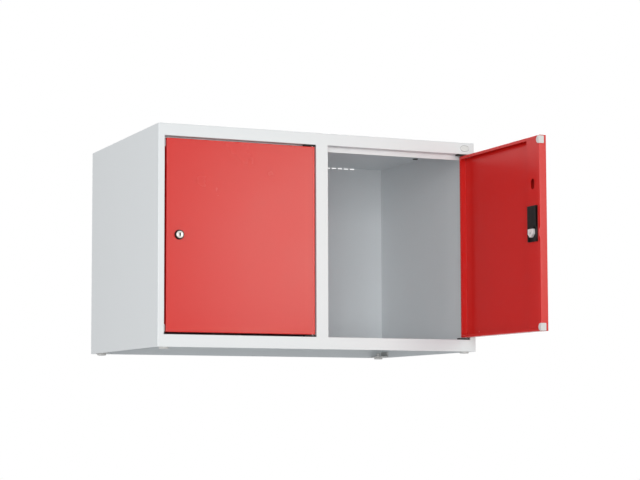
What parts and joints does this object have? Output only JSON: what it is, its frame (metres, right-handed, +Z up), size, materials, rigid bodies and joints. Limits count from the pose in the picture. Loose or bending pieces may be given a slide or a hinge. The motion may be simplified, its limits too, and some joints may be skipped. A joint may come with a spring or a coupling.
{
  "type": "locker top cabinet",
  "caption": "Steel locker top cabinet with side-by-side compartments behind pin-hinged red doors with cylinder cam locks, on low pad feet.",
  "frame": {"origin": "on the floor under the middle of the whole as stored, with the right door open", "axes": "+X to the right seen from the front, +Y to the back of the cabinet, +Z up; the front faces -Y"},
  "size_m": [0.8, 0.8528, 0.504],
  "materials": {
    "grey_paint": "light grey powder coat, fine orange peel",
    "red_paint": "red powder coat, fine orange peel",
    "black_plastic": "moulded black plastic",
    "white_plastic": "moulded white plastic",
    "nickel": "satin nickel plating",
    "zinc_steel": "zinc plated steel"
  },
  "bodies": {
    "cabinet": {"left_side_panel": "grey_paint", "right_side_panel": "grey_paint", "top_panel": "grey_paint", "back_panel": "grey_paint", "floor_panel": "grey_paint", "partition": "grey_paint", "left_stile": "grey_paint", "right_stile": "grey_paint", "centre_post": "grey_paint", "top_rail": "grey_paint", "bottom_rail": "grey_paint", "left_door_stop": "grey_paint", "right_door_stop": "grey_paint", "left_upper_hinge_bush": "black_plastic", "left_lower_hinge_bush": "black_plastic", "right_upper_hinge_bush": "black_plastic", "right_lower_hinge_bush": "black_plastic", "front_left_foot_bracket": "zinc_steel", "front_right_foot_bracket": "zinc_steel", "rear_left_foot_bracket": "zinc_steel", "rear_right_foot_bracket": "zinc_steel", "front_left_foot": "white_plastic", "front_right_foot": "white_plastic", "rear_left_foot": "white_plastic", "rear_right_foot": "white_plastic", "left_roof_plug": "black_plastic", "right_roof_plug": "black_plastic", "blank_badge": "nickel"},
    "left_door": {"left_door_panel": "red_paint", "left_door_stiffener": "red_paint", "left_upper_hinge_pin": "zinc_steel", "left_lower_hinge_pin": "zinc_steel", "left_upper_buffer": "white_plastic", "left_lower_buffer": "white_plastic", "left_lock_rosette": "black_plastic", "left_lock_barrel": "nickel", "left_lock_clamp_nut": "zinc_steel", "left_lock_case": "black_plastic"},
    "right_door": {"right_door_panel": "red_paint", "right_door_stiffener": "red_paint", "right_upper_hinge_pin": "zinc_steel", "right_lower_hinge_pin": "zinc_steel", "right_upper_buffer": "white_plastic", "right_lower_buffer": "white_plastic", "right_lock_rosette": "black_plastic", "right_lock_barrel": "nickel", "right_lock_clamp_nut": "zinc_steel", "right_lock_case": "black_plastic"},
    "left_lock": {"left_lock_plug": "nickel", "left_lock_cam": "nickel", "left_lock_cam_nut": "zinc_steel"},
    "right_lock": {"right_lock_plug": "nickel", "right_lock_cam": "nickel", "right_lock_cam_nut": "zinc_steel"}
  },
  "joints": [
    {"name": "left_door_hinge", "type": "hinge", "parent": "cabinet", "child": "left_door", "pos_m": [-0.02265, -0.06718, 0.254], "axis": [0, 0, 1], "range_deg": [0, 95]},
    {"name": "right_door_hinge", "type": "hinge", "parent": "cabinet", "child": "right_door", "pos_m": [0.37735, -0.06718, 0.254], "axis": [0, 0, 1], "range_deg": [-90, 5]},
    {"name": "left_lock_turn", "type": "hinge", "parent": "left_door", "child": "left_lock", "pos_m": [-0.3504, -0.07358, 0.254], "axis": [0, -1, 0], "range_deg": [0, 90]},
    {"name": "right_lock_turn", "type": "hinge", "parent": "right_door", "child": "right_lock", "pos_m": [0.37735, -0.39492, 0.254], "axis": [1, 0, 0], "range_deg": [0, 90]}
  ]
}
